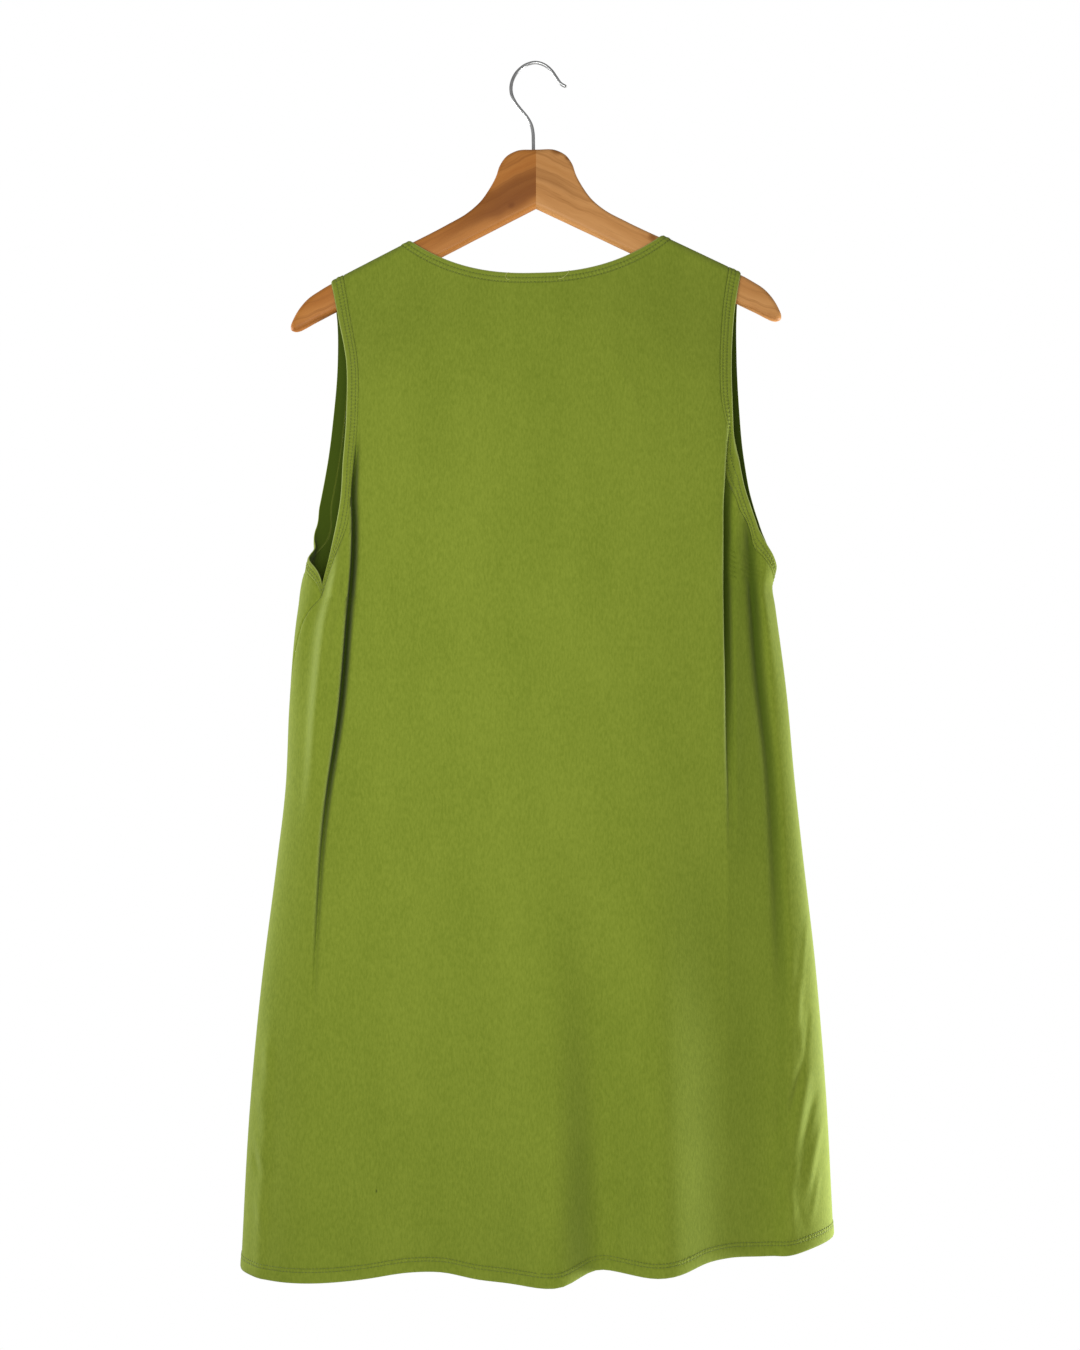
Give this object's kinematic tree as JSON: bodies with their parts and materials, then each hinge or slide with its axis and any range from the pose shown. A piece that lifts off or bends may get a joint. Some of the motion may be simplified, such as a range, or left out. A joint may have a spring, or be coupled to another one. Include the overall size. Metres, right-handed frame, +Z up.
{
  "type": "sleeveless mini dress on a wooden hanger",
  "caption": "Sleeveless A-line mini dress in olive cotton jersey with a round neck and narrow bound edges, hanging on a contoured wooden hanger with a wire hook.",
  "frame": {"origin": "inside top of the hook, where a rail carries it", "axes": "+Z up, +X towards the wearer's right, +Y towards the front of the dress"},
  "size_m": [0.5406, 0.1553, 1.0873],
  "materials": {
    "jersey": "matte cotton jersey",
    "wood": "satin varnish",
    "wire": "zinc plated"
  },
  "bodies": {
    "root": {"back_panel": "jersey", "front_panel": "jersey", "neck_binding": "jersey", "armhole_binding_left": "jersey", "armhole_binding_right": "jersey", "hanger_arm_left": "wood", "hanger_arm_right": "wood", "hook": "wire"}
  },
  "joints": []
}
